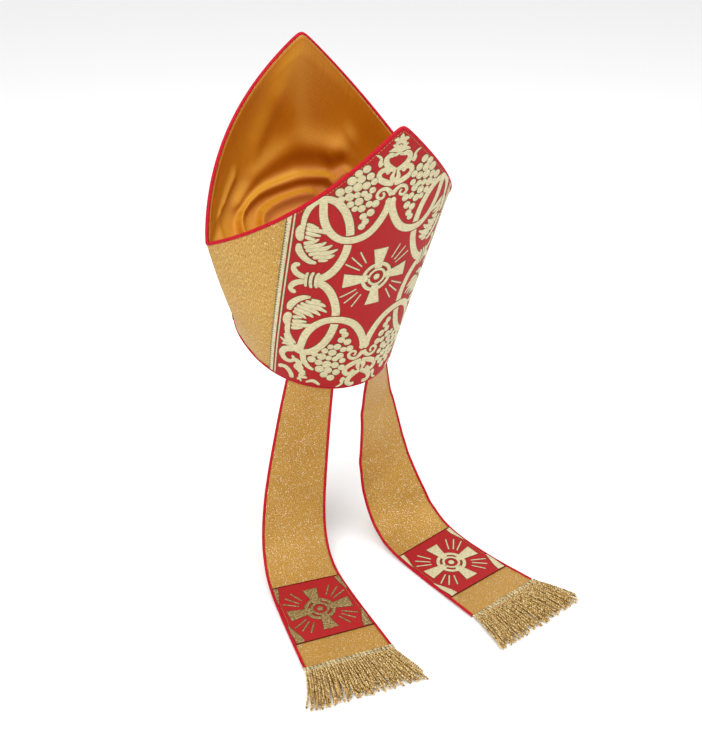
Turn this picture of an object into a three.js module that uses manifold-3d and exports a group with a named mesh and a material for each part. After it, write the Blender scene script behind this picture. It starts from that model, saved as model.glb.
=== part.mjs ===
// A bishop's mitre: two stiff gold horns with a red brocade orphrey on each, a satin lining that spans
// them, corded red piping, and two fringed lappets that hang from the back rim and end on a surface.
// Millimetres. +Z up, +Y the wearer's back, +X the wearer's left, origin at the centre of the head opening.
import * as THREE from "three";
import { mergeVertices } from "three/addons/utils/BufferGeometryUtils.js";
import Module from "manifold-3d";

const wasm = await Module();
wasm.setup();

// ---- the two horns ----
const HEIGHT = 313; // rim to peak, measured up the mitre's own axis
const CORNER_HEIGHT = 149.5; // rim to the side corners, where the horns part
const RIM_HALF_WIDTH = 82.5; // head opening, ear to ear
const RIM_HALF_DEPTH = 101; // head opening, brow to nape
const RIM_ROUNDNESS = 0.87; // power of the rim's depth curve, 1 is an ellipse
const PEAK_HALF_GAP = 99; // axis to each peak
const PEAK_LEVEL_HALF_WIDTH = 180; // the flare, carried on up to the peak's level
const FLARE_POWER = 2.45; // how flat the middle of a horn stays as it flares
const CORNER_BULGE = 12.3; // how far the sides swell between rim and corner
const PEAK_ROUNDING = 0.02; // share of the half width over which the peak is rounded
const LEAN_BACK = 14.3; // degrees that the worn mitre leans toward the back
const WALL = 2.4; // stiffened cloth
const SEAM_GAP = 0.15; // each horn stops this far from the side seam plane

// ---- what is sewn to the horns ----
const ORPHREY_HALF_WIDTH = 101;
const ORPHREY_GAP = 0.5;
const ORPHREY_THICKNESS = 0.8;
const ORPHREY_MARGIN = 0.5; // rim and piping to the orphrey's ends
const LINING_THICKNESS = 1;
const LINING_GAP = 0.6;
const LINING_DROP = 3; // piping to the lining's edge
const LINING_REACH = 0.955; // share of the half width that the lining covers
const VALLEY_HEIGHT = 132; // the lining's lowest line, above the rim
const VALLEY_RISE = 9; // how much higher that line is near the side corners
const PIPING_RADIUS = 1.7;
const PIPING_GAP = 0.3;

// ---- the lappets ----
const SURFACE_LEVEL = -250; // where the lappets' ends lie
const LAPPET_LENGTH = 390; // rim to braid
const LAPPET_TUCK = 13; // sewn up inside the rim
const LAPPET_STEP = 13;
const LAPPET_ROOT_OFFSET = 53.4; // centre back to the lappet's middle, round the rim
const LAPPET_ROOT_INSET = 5.2; // mitre's outer face to the lappet's mid plane
const LAPPET_THICKNESS = 1.8;
const LAPPET_TOP_WIDTH = 47;
const LAPPET_END_WIDTH = 95;
const LAPPET_BOW = 5.4; // how far its edges are set in at the rim, where it follows the head
const LAPPET_BOW_FADE = 110;
const LAPPET_PIPING_RADIUS = 1.4;
const LAPPET_PIPING_GAP = 0.4;
const PANEL_START = 260;
const PANEL_END = 351;
const PANEL_GAP = 0.4;
const PANEL_THICKNESS = 0.7;
const BRAID_BACK = 4; // braid over the cloth's end
const BRAID_FORWARD = 9; // braid over the fringe's head
const BRAID_THICKNESS = 1.4;
const FRINGE_LENGTH = 58;
const FRINGE_HEAD = 1.6; // fringe thickness under the braid
const FRINGE_BODY = 6.5;
const FRINGE_TIP = 4;
const FRINGE_SPREAD = 17; // how much wider each side is at the fringe's tips

// Directions of each lappet, a row every sixth of its length. heading: degrees from the back toward the
// wearer's left. drop: degrees below level. sway: degrees that the strip swings sideways in its own plane.
const LAPPET_ROUTES = {
  left: [
    { heading: 38, drop: 105, sway: 9 },
    { heading: 32, drop: 93, sway: 7 },
    { heading: 24, drop: 83, sway: 7 },
    { heading: 12, drop: 60, sway: 7 },
    { heading: 3, drop: 11, sway: 7 },
    { heading: 3, drop: 0, sway: 6 },
    { heading: 4, drop: 0, sway: 5 },
  ],
  right: [
    { heading: -38, drop: 105, sway: -9 },
    { heading: -22, drop: 91, sway: -8 },
    { heading: -6, drop: 86, sway: -8 },
    { heading: 12, drop: 62, sway: -14 },
    { heading: 15, drop: 13, sway: -23 },
    { heading: 18, drop: 0, sway: -27 },
    { heading: 21, drop: 0, sway: -31 },
  ],
};

const MATERIALS = {
  goldLame: new THREE.MeshStandardMaterial({ color: 0xcda15c, roughness: 0.5, metalness: 0.35 }),
  redBrocade: new THREE.MeshStandardMaterial({ color: 0xba2323, roughness: 0.6, metalness: 0 }),
  satin: new THREE.MeshStandardMaterial({ color: 0xbe7814, roughness: 0.35, metalness: 0 }),
  redCord: new THREE.MeshStandardMaterial({ color: 0xcd1932, roughness: 0.5, metalness: 0 }),
  braid: new THREE.MeshStandardMaterial({ color: 0xc9b27c, roughness: 0.5, metalness: 0.4 }),
  fringe: new THREE.MeshStandardMaterial({ color: 0xc8a55a, roughness: 0.45, metalness: 0.4 }),
};

// ---- geometry helpers ----
const radians = THREE.MathUtils.degToRad;

function solidOf(geometry) {
  const bare = geometry.clone();
  bare.deleteAttribute("normal");
  bare.deleteAttribute("uv");
  const merged = mergeVertices(bare, 1e-4);
  return new wasm.Manifold(
    new wasm.Mesh({
      numProp: 3,
      vertProperties: merged.attributes.position.array,
      triVerts: new Uint32Array(merged.index.array),
    }),
  );
}

function geometryOf(solid) {
  const mesh = solid.getMesh();
  const geometry = new THREE.BufferGeometry();
  geometry.setAttribute("position", new THREE.BufferAttribute(mesh.vertProperties, 3));
  geometry.setIndex(new THREE.BufferAttribute(mesh.triVerts, 1));
  geometry.computeVertexNormals();
  return geometry;
}

function signedVolume(positions, triangles) {
  const [a, b, c] = [new THREE.Vector3(), new THREE.Vector3(), new THREE.Vector3()];
  let six = 0;
  for (let i = 0; i < triangles.length; i += 3) {
    a.fromArray(positions, 3 * triangles[i]);
    b.fromArray(positions, 3 * triangles[i + 1]);
    c.fromArray(positions, 3 * triangles[i + 2]);
    six += a.dot(b.cross(c));
  }
  return six / 6;
}

// A closed sheet: pointAt(u, v, layer) gives its two faces, layer 0 and 1, for u and v from 0 to 1.
function sheet(columns, rows, pointAt) {
  const positions = [];
  for (const layer of [0, 1]) {
    for (let j = 0; j <= rows; j += 1) {
      for (let i = 0; i <= columns; i += 1) {
        positions.push(...pointAt(i / columns, j / rows, layer).toArray());
      }
    }
  }
  const id = (i, j, layer) => layer * (columns + 1) * (rows + 1) + j * (columns + 1) + i;
  const triangles = [];
  const quad = (a, b, c, d) => triangles.push(a, b, c, a, c, d);
  for (let j = 0; j < rows; j += 1) {
    for (let i = 0; i < columns; i += 1) {
      quad(id(i, j, 1), id(i + 1, j, 1), id(i + 1, j + 1, 1), id(i, j + 1, 1));
      quad(id(i, j, 0), id(i, j + 1, 0), id(i + 1, j + 1, 0), id(i + 1, j, 0));
    }
  }
  for (let i = 0; i < columns; i += 1) {
    quad(id(i, 0, 0), id(i + 1, 0, 0), id(i + 1, 0, 1), id(i, 0, 1));
    quad(id(i, rows, 1), id(i + 1, rows, 1), id(i + 1, rows, 0), id(i, rows, 0));
  }
  for (let j = 0; j < rows; j += 1) {
    quad(id(0, j, 1), id(0, j + 1, 1), id(0, j + 1, 0), id(0, j, 0));
    quad(id(columns, j, 0), id(columns, j + 1, 0), id(columns, j + 1, 1), id(columns, j, 1));
  }
  if (signedVolume(positions, triangles) < 0) {
    triangles.reverse();
  }
  const geometry = new THREE.BufferGeometry();
  geometry.setAttribute("position", new THREE.Float32BufferAttribute(positions, 3));
  geometry.setIndex(triangles);
  geometry.computeVertexNormals();
  return geometry;
}

function tube(points, radius, sides, steps) {
  const circle = new THREE.Path().absarc(0, 0, radius, 0, 2 * Math.PI).getSpacedPoints(sides);
  const path = new THREE.CatmullRomCurve3(points, false, "centripetal");
  return new THREE.ExtrudeGeometry(new THREE.Shape(circle), { steps, extrudePath: path });
}

// What lies on one side of the side seam plane, 1 the back and -1 the front.
function halfOf(geometry, side) {
  const reach = 2 * HEIGHT;
  const block = new THREE.BoxGeometry(2 * reach, reach, 2 * reach);
  block.translate(0, side * (SEAM_GAP + reach / 2), 0);
  return geometryOf(solidOf(geometry).intersect(solidOf(block)));
}

// ---- the mitre's surface ----
// turn runs from -90 to 90 degrees round one horn, seam to seam, in radians; side 1 is the back horn.
function hornPoint(side, turn, height) {
  const share = height / HEIGHT;
  const across = (2 * turn) / Math.PI;
  const rimX = RIM_HALF_WIDTH * Math.sin(turn);
  const rimY = RIM_HALF_DEPTH * Math.abs(Math.cos(turn)) ** RIM_ROUNDNESS;
  const peakX = PEAK_LEVEL_HALF_WIDTH * across;
  const peakY = PEAK_HALF_GAP * (1 - Math.abs(across) ** FLARE_POWER);
  const bulge = CORNER_BULGE * 4 * share * (1 - share) * Math.sign(across) * across ** 4;
  const x = (1 - share) * rimX + share * peakX + bulge;
  const y = side * ((1 - share) * rimY + share * peakY);
  return new THREE.Vector3(x, y, height);
}

function hornNormal(side, turn, height) {
  const step = 0.02;
  const before = Math.max(turn - step, -Math.PI / 2);
  const after = Math.min(turn + step, Math.PI / 2);
  const round = hornPoint(side, after, height).sub(hornPoint(side, before, height));
  const up = hornPoint(side, turn, height + 1).sub(hornPoint(side, turn, height));
  const normal = round.cross(up).normalize();
  return normal.y * side < 0 ? normal.negate() : normal;
}

function hornOffset(side, turn, height, out) {
  return hornPoint(side, turn, height).addScaledVector(hornNormal(side, turn, height), out);
}

function edgeHeight(turn) {
  const q = Math.abs((2 * turn) / Math.PI);
  const round = Math.hypot(q, PEAK_ROUNDING) - PEAK_ROUNDING;
  const whole = Math.hypot(1, PEAK_ROUNDING) - PEAK_ROUNDING;
  return CORNER_HEIGHT + (HEIGHT - CORNER_HEIGHT) * (1 - round / whole);
}

// The turn at which the cloth, measured round the horn at one height, is `distance` from the centre line.
function turnAt(side, distance, height) {
  const steps = 48;
  let walked = 0;
  let last = hornPoint(side, 0, height);
  for (let i = 1; i <= steps; i += 1) {
    const next = hornPoint(side, (i / steps) * (Math.PI / 2), height);
    const length = next.distanceTo(last);
    if (walked + length >= Math.abs(distance)) {
      const part = (Math.abs(distance) - walked) / length;
      return Math.sign(distance) * ((i - 1 + part) / steps) * (Math.PI / 2);
    }
    walked += length;
    last = next;
  }
  return Math.sign(distance) * (Math.PI / 2);
}

// ---- pieces of the mitre ----
function horn(side) {
  const whole = sheet(28, 8, (u, v, layer) => {
    const turn = (u - 0.5) * Math.PI;
    return hornOffset(side, turn, v * edgeHeight(turn), layer === 1 ? 0 : -WALL);
  });
  return halfOf(whole, side);
}

// The height at which a line `distance` from the centre line meets the horn's top edge.
function topOf(side, distance) {
  let low = 0;
  let high = HEIGHT;
  for (let i = 0; i < 30; i += 1) {
    const middle = (low + high) / 2;
    if (middle < edgeHeight(turnAt(side, distance, middle))) {
      low = middle;
    } else {
      high = middle;
    }
  }
  return low;
}

function orphrey(side) {
  return sheet(20, 8, (u, v, layer) => {
    const distance = (2 * u - 1) * ORPHREY_HALF_WIDTH;
    const top = topOf(side, distance) - ORPHREY_MARGIN;
    const height = ORPHREY_MARGIN + v * (top - ORPHREY_MARGIN);
    const out = ORPHREY_GAP + layer * ORPHREY_THICKNESS;
    return hornOffset(side, turnAt(side, distance, height), height, out);
  });
}

// v runs from the front horn's edge, down into the valley at 0.5, and up to the back horn's edge.
function liningMiddle(u, v) {
  const side = v < 0.5 ? -1 : 1;
  const climb = Math.abs(2 * v - 1);
  const across = (2 * u - 1) * LINING_REACH;
  const turn = (across * Math.PI) / 2;
  const top = edgeHeight(turn) - LINING_DROP;
  const bottom = VALLEY_HEIGHT + VALLEY_RISE * Math.abs(across) ** 3;
  const height = bottom + (top - bottom) * climb ** 2;
  const against = hornOffset(side, turn, height, -(WALL + LINING_GAP + LINING_THICKNESS / 2));
  const spread = 1 - (1 - climb) ** 3;
  return new THREE.Vector3(against.x, against.y * spread, against.z);
}

function lining() {
  return sheet(20, 10, (u, v, layer) => {
    const step = 0.01;
    const across = liningMiddle(u + step, v).sub(liningMiddle(u - step, v));
    const along = liningMiddle(u, Math.min(v + step, 1)).sub(liningMiddle(u, Math.max(v - step, 0)));
    const up = across.cross(along).normalize();
    return liningMiddle(u, v).addScaledVector(up, (layer - 0.5) * LINING_THICKNESS);
  });
}

// The piping's middle, just past the horn's cut edge, square to that edge in the horn's own surface.
function edgePipingPoint(side, turn) {
  const step = 0.01;
  const edge = (t) => hornOffset(side, t, edgeHeight(t), -WALL / 2);
  const limit = Math.PI / 2 - step;
  const middle = THREE.MathUtils.clamp(turn, -limit, limit);
  const along = edge(middle + step).sub(edge(middle - step));
  const past = along.cross(hornNormal(side, turn, edgeHeight(turn))).normalize();
  if (past.z < 0) {
    past.negate();
  }
  return edge(turn).addScaledVector(past, PIPING_RADIUS + PIPING_GAP);
}

function edgePiping(side) {
  const shares = [0.05, 0.1, 0.2, 0.3, 0.4, 0.5, 0.6, 0.7, 0.8, 0.88, 0.95, 1];
  const left = shares.map((share) => edgePipingPoint(side, (share * Math.PI) / 2));
  const right = left.map((point) => new THREE.Vector3(-point.x, point.y, point.z));
  // The two straight runs are carried on until they meet over the peak.
  const run = left[0].clone().sub(left[1]);
  const peak = left[0].clone().addScaledVector(run, left[0].x / -run.x);
  const points = [...right.reverse(), peak, ...left];
  return halfOf(tube(points, PIPING_RADIUS, 6, 48), side);
}

function rimPiping() {
  const level = -(PIPING_RADIUS + PIPING_GAP);
  const halves = [1, -1].map((side) => {
    const points = [];
    const overlap = 0.02;
    for (let i = 0; i <= 16; i += 1) {
      const turn = (i / 8 - 1) * (Math.PI / 2);
      const point = hornOffset(side, turn, 0, -WALL / 2);
      points.push(new THREE.Vector3(point.x, i % 16 === 0 ? -side * overlap : point.y, level));
    }
    return solidOf(tube(points, PIPING_RADIUS, 6, 24));
  });
  return geometryOf(halves[0].add(halves[1]));
}

// ---- the lappets' surface ----
// Returns frameAt(s): the strip's middle, and its across, along and outward directions, s mm past the rim.
function traceLappet(hand) {
  const sign = hand === "left" ? 1 : -1;
  const rows = LAPPET_ROUTES[hand].map((row) => new THREE.Vector3(row.heading, row.drop, row.sway));
  const angles = new THREE.CatmullRomCurve3(rows, false, "catmullrom", 0.5);
  const lean = new THREE.Euler(-radians(LEAN_BACK), 0, 0);
  const rootTurn = turnAt(1, sign * LAPPET_ROOT_OFFSET, 0);
  const root = hornOffset(1, rootTurn, 0, -LAPPET_ROOT_INSET).applyEuler(lean);

  function directions(s) {
    const row = angles.getPoint(THREE.MathUtils.clamp(s / LAPPET_LENGTH, 0, 1));
    const [heading, drop, sway] = row.toArray().map(radians);
    const level = new THREE.Vector3(Math.cos(heading), -Math.sin(heading), 0);
    const away = new THREE.Vector3(Math.sin(heading), Math.cos(heading), 0);
    const down = away.multiplyScalar(Math.cos(drop)).setZ(-Math.sin(drop));
    const across = level.clone().multiplyScalar(Math.cos(sway)).addScaledVector(down, -Math.sin(sway));
    const along = down.clone().multiplyScalar(Math.cos(sway)).addScaledVector(level, Math.sin(sway));
    return { across, along, out: across.clone().cross(along) };
  }

  const pace = 1;
  const middles = [root.clone()];
  for (let s = 0; s < LAPPET_LENGTH; s += pace) {
    middles.push(middles[s / pace].clone().addScaledVector(directions(s + pace / 2).along, pace));
  }

  return function frameAt(s) {
    const frame = directions(s);
    const whole = THREE.MathUtils.clamp(Math.floor(s / pace), 0, middles.length - 1);
    frame.middle = middles[whole].clone().addScaledVector(frame.along, s - whole * pace);
    return frame;
  };
}

function lappetHalfWidth(s) {
  const share = Math.max(s, 0) / LAPPET_LENGTH;
  return (LAPPET_TOP_WIDTH + (LAPPET_END_WIDTH - LAPPET_TOP_WIDTH) * share) / 2;
}

// A point of a lappet: side is the share of the half width from its middle, out the height above mid plane.
function lappetPoint(frame, s, side, out) {
  const fade = THREE.MathUtils.clamp(1 - s / LAPPET_BOW_FADE, 0, 1);
  const bow = LAPPET_BOW * fade ** 2 * side ** 2;
  return frame.middle
    .clone()
    .addScaledVector(frame.across, side * lappetHalfWidth(s))
    .addScaledVector(frame.out, out - bow);
}

function lappetSheet(frameAt, columns, start, end, low, high) {
  const rows = Math.round((end - start) / LAPPET_STEP);
  return sheet(columns, rows, (u, v, layer) => {
    const s = start + v * (end - start);
    return lappetPoint(frameAt(s), s, 2 * u - 1, layer === 1 ? high : low);
  });
}

function lappetPiping(frameAt, edge) {
  const end = LAPPET_LENGTH - BRAID_BACK - LAPPET_PIPING_GAP;
  const count = 30;
  const points = [];
  for (let i = 0; i <= count; i += 1) {
    const s = -LAPPET_TUCK + (i / count) * (end + LAPPET_TUCK);
    const clear = LAPPET_PIPING_RADIUS + LAPPET_PIPING_GAP;
    const side = edge * (1 + clear / lappetHalfWidth(s));
    points.push(lappetPoint(frameAt(s), s, side, 0));
  }
  return tube(points, LAPPET_PIPING_RADIUS, 6, count);
}

function braid(frameAt) {
  const end = frameAt(LAPPET_LENGTH);
  const low = LAPPET_THICKNESS / 2 + PANEL_GAP;
  const half = LAPPET_END_WIDTH / 2 + 2 * LAPPET_PIPING_RADIUS;
  return sheet(6, 2, (u, v, layer) =>
    end.middle
      .clone()
      .addScaledVector(end.across, (2 * u - 1) * half)
      .addScaledVector(end.along, v * (BRAID_BACK + BRAID_FORWARD) - BRAID_BACK)
      .addScaledVector(end.out, low + layer * BRAID_THICKNESS),
  );
}

// The fringe's outer form: thin under the braid, thick past it, spread and thinner at the tips.
function fringe(frameAt) {
  const end = frameAt(LAPPET_LENGTH);
  const flatAlong = end.along.clone().setZ(0).normalize();
  const bottom = SURFACE_LEVEL + 0.3;
  const rows = [
    { along: 0.5, top: end.middle.z + FRINGE_HEAD / 2 - bottom },
    { along: BRAID_FORWARD, top: end.middle.z + FRINGE_HEAD / 2 - bottom },
    { along: BRAID_FORWARD + 2.5, top: FRINGE_BODY },
    { along: FRINGE_LENGTH * 0.6, top: FRINGE_BODY },
    { along: FRINGE_LENGTH, top: FRINGE_TIP },
  ];
  return sheet(8, rows.length - 1, (u, v, layer) => {
    const row = rows[Math.round(v * (rows.length - 1))];
    const half = LAPPET_END_WIDTH / 2 + (FRINGE_SPREAD * row.along) / FRINGE_LENGTH;
    const point = end.middle
      .clone()
      .addScaledVector(end.across, (2 * u - 1) * half)
      .addScaledVector(flatAlong, row.along);
    const roundedTop = row.top * (1 - 0.5 * Math.abs(2 * u - 1) ** 6);
    point.z = bottom + layer * Math.max(roundedTop, 1);
    return point;
  });
}

// ---- assembly ----
function addPiece(group, name, geometry, material) {
  const mesh = new THREE.Mesh(geometry, material);
  mesh.name = name;
  group.add(mesh);
}

function buildMitre() {
  const mitre = new THREE.Group();
  for (const [name, side] of [["front", -1], ["back", 1]]) {
    addPiece(mitre, `${name}_horn`, horn(side), MATERIALS.goldLame);
    addPiece(mitre, `${name}_orphrey`, orphrey(side), MATERIALS.redBrocade);
    addPiece(mitre, `${name}_piping`, edgePiping(side), MATERIALS.redCord);
  }
  addPiece(mitre, "crown_lining", lining(), MATERIALS.satin);
  addPiece(mitre, "rim_piping", rimPiping(), MATERIALS.redCord);
  mitre.rotation.x = -radians(LEAN_BACK);
  return mitre;
}

function buildLappet(hand) {
  const lappet = new THREE.Group();
  const frameAt = traceLappet(hand);
  const name = `lappet_${hand}`;
  const half = LAPPET_THICKNESS / 2;
  const band = lappetSheet(frameAt, 4, -LAPPET_TUCK, LAPPET_LENGTH, -half, half);
  const low = half + PANEL_GAP;
  const panel = lappetSheet(frameAt, 4, PANEL_START, PANEL_END, low, low + PANEL_THICKNESS);
  const outward = hand === "left" ? 1 : -1;
  addPiece(lappet, name, band, MATERIALS.goldLame);
  addPiece(lappet, `${name}_panel`, panel, MATERIALS.redBrocade);
  addPiece(lappet, `${name}_piping_out`, lappetPiping(frameAt, outward), MATERIALS.redCord);
  addPiece(lappet, `${name}_piping_in`, lappetPiping(frameAt, -outward), MATERIALS.redCord);
  addPiece(lappet, `${name}_braid`, braid(frameAt), MATERIALS.braid);
  addPiece(lappet, `${name}_fringe`, fringe(frameAt), MATERIALS.fringe);
  return lappet;
}

const object = new THREE.Group();
object.add(buildMitre());
object.add(buildLappet("left"));
object.add(buildLappet("right"));

export default object;
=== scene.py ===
"""Bishop's mitre: figured orphreys, satin valley, corded edges and fringed lappets, dressed for rendering.

Metres. +Z up, +Y the wearer's back, +X the wearer's left, origin at the centre of the head opening.
"""

from __future__ import annotations

import logging
import math
from dataclasses import dataclass, replace
from enum import Enum
from typing import Callable, Sequence

import bpy
import numpy as np
from mathutils import Matrix, Vector

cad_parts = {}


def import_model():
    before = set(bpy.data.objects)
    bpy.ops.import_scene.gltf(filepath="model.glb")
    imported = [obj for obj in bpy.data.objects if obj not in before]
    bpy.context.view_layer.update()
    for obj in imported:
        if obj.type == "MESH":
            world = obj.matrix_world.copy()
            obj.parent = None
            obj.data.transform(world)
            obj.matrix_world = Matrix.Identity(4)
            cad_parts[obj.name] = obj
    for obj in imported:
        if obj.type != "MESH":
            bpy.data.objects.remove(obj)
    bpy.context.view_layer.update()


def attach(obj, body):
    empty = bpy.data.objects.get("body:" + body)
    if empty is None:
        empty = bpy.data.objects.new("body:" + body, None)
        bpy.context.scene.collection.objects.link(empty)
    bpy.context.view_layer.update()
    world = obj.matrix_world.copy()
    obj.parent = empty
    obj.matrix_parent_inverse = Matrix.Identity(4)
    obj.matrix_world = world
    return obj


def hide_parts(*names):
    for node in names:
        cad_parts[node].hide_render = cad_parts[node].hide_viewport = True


LOG = logging.getLogger("mitre")
MM = 0.001
SEED = 7


class Slot(Enum):
    """Names of material slots."""

    LAME = "gold_lame"
    BROCADE = "red_brocade"
    SATIN = "satin_lining"
    PIPING = "red_piping"
    BRAID = "gold_braid"
    FRINGE = "gold_fringe"


# ---------------------------------------------------------------- surfaces


@dataclass(frozen=True)
class MitreForm:
    """The ruled, flaring surface of the two horns. Sizes in metres, the lean in degrees."""

    height: float = 0.313
    corner: float = 0.1495
    rim_x: float = 0.0825
    rim_y: float = 0.101
    roundness: float = 0.87
    peak_y: float = 0.099
    flare_x: float = 0.180
    flare_power: float = 2.45
    bulge: float = 0.0123
    peak_rounding: float = 0.02
    lean: float = 14.3
    wall: float = 0.0024

    def point(self, side: int, turn: np.ndarray, z: np.ndarray) -> np.ndarray:
        """Args: side 1 back or -1 front, turn in radians, height z. Returns: upright points (n, 3)."""
        share = z / self.height
        g = 2 * turn / np.pi
        x = (1 - share) * self.rim_x * np.sin(turn) + share * self.flare_x * g
        x = x + self.bulge * 4 * share * (1 - share) * np.sign(g) * g**4
        y = (1 - share) * self.rim_y * np.abs(np.cos(turn)) ** self.roundness
        y = y + share * self.peak_y * (1 - np.abs(g) ** self.flare_power)
        return np.stack([x, side * y, z], -1)

    def normal(self, side: int, turn: np.ndarray, z: np.ndarray) -> np.ndarray:
        """Returns: outward unit normals at those places, upright."""
        low = np.maximum(turn - 0.02, -np.pi / 2)
        high = np.minimum(turn + 0.02, np.pi / 2)
        around = self.point(side, high, z) - self.point(side, low, z)
        up = self.point(side, turn, z + MM) - self.point(side, turn, z)
        out = np.cross(around, up)
        out /= np.linalg.norm(out, axis=1)[:, None]
        return out * np.sign(out[:, 1:2] * side + 1e-12)

    def edge(self, turn: np.ndarray) -> np.ndarray:
        """Returns: the height of the horn's cut edge at each turn."""
        q = np.abs(2 * turn / np.pi)
        rounded = np.hypot(q, self.peak_rounding) - self.peak_rounding
        whole = math.hypot(1, self.peak_rounding) - self.peak_rounding
        return self.corner + (self.height - self.corner) * (1 - rounded / whole)

    def worn(self, upright: np.ndarray) -> np.ndarray:
        """Returns: the points leaned back as the mitre is worn."""
        angle = math.radians(self.lean)
        c, s = math.cos(angle), math.sin(angle)
        x, y, z = upright.T
        return np.stack([x, c * y + s * z, -s * y + c * z], -1)


class HornCloth:
    """One horn's outer face in the cloth's own flat coordinates: distance from the centre line, height."""

    ROWS, COLUMNS, REACH = 90, 160, 0.19

    def __init__(self, form: MitreForm, side: int) -> None:
        self.form, self.side = form, side
        turns = np.linspace(0, np.pi / 2, 240)
        self.table = np.zeros((self.ROWS, self.COLUMNS))
        reach = np.linspace(0, self.REACH, self.COLUMNS)
        for row, z in enumerate(np.linspace(0, form.height, self.ROWS)):
            line = form.point(side, turns, np.full_like(turns, z))
            self.table[row] = np.interp(reach, lengths(line), turns)

    def turn(self, x: np.ndarray, z: np.ndarray) -> np.ndarray:
        """Returns: the turn at flat distance x and height z."""
        row = np.clip(z / self.form.height, 0, 0.9999) * (self.ROWS - 1)
        column = np.clip(np.abs(x) / self.REACH, 0, 0.9999) * (self.COLUMNS - 1)
        i, j = row.astype(int), column.astype(int)
        a, b = row - i, column - j
        t = self.table
        low = t[i, j] * (1 - b) + t[i, j + 1] * b
        high = t[i + 1, j] * (1 - b) + t[i + 1, j + 1] * b
        return np.sign(x) * (low * (1 - a) + high * a)

    def top(self, x: np.ndarray) -> np.ndarray:
        """Returns: the height at which the line at distance x meets the cut edge."""
        low, high = np.zeros_like(x), np.full_like(x, self.form.height)
        for _ in range(26):
            middle = (low + high) / 2
            under = middle < self.form.edge(self.turn(x, middle))
            low, high = np.where(under, middle, low), np.where(under, high, middle)
        return low

    def clip(self, x: np.ndarray, y: np.ndarray) -> tuple[np.ndarray, np.ndarray]:
        """Returns: the flat places, kept between the rim and the piping."""
        return x, np.clip(y, 0.8 * MM, self.top(x) - 1.2 * MM)

    def at(self, x: np.ndarray, y: np.ndarray, out: np.ndarray | float) -> np.ndarray:
        """Returns: worn points, `out` metres off the horn's outer face."""
        turn = self.turn(x, y)
        base = self.form.point(self.side, turn, y)
        lift = np.broadcast_to(np.asarray(out, float), x.shape)[:, None]
        return self.form.worn(base + self.form.normal(self.side, turn, y) * lift)


def catmull(a: np.ndarray, b: np.ndarray, c: np.ndarray, d: np.ndarray, f: np.ndarray) -> np.ndarray:
    """Returns: the smooth curve through b and c at the share f between them."""
    return b + 0.5 * f * (c - a + f * (2 * a - 5 * b + 4 * c - d + f * (3 * (b - c) + d - a)))


@dataclass(frozen=True)
class LappetRoute:
    """Directions of a lappet, in degrees, a value every sixth of its length."""

    sign: int
    heading: tuple[float, ...]
    drop: tuple[float, ...]
    sway: tuple[float, ...]


LEFT = LappetRoute(1, (38, 32, 24, 12, 3, 3, 4), (105, 93, 83, 60, 11, 0, 0), (9, 7, 7, 7, 7, 6, 5))
RIGHT = LappetRoute(
    -1, (-38, -22, -6, 12, 15, 18, 21), (105, 91, 86, 62, 13, 0, 0), (-9, -8, -8, -14, -23, -27, -31)
)


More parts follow.
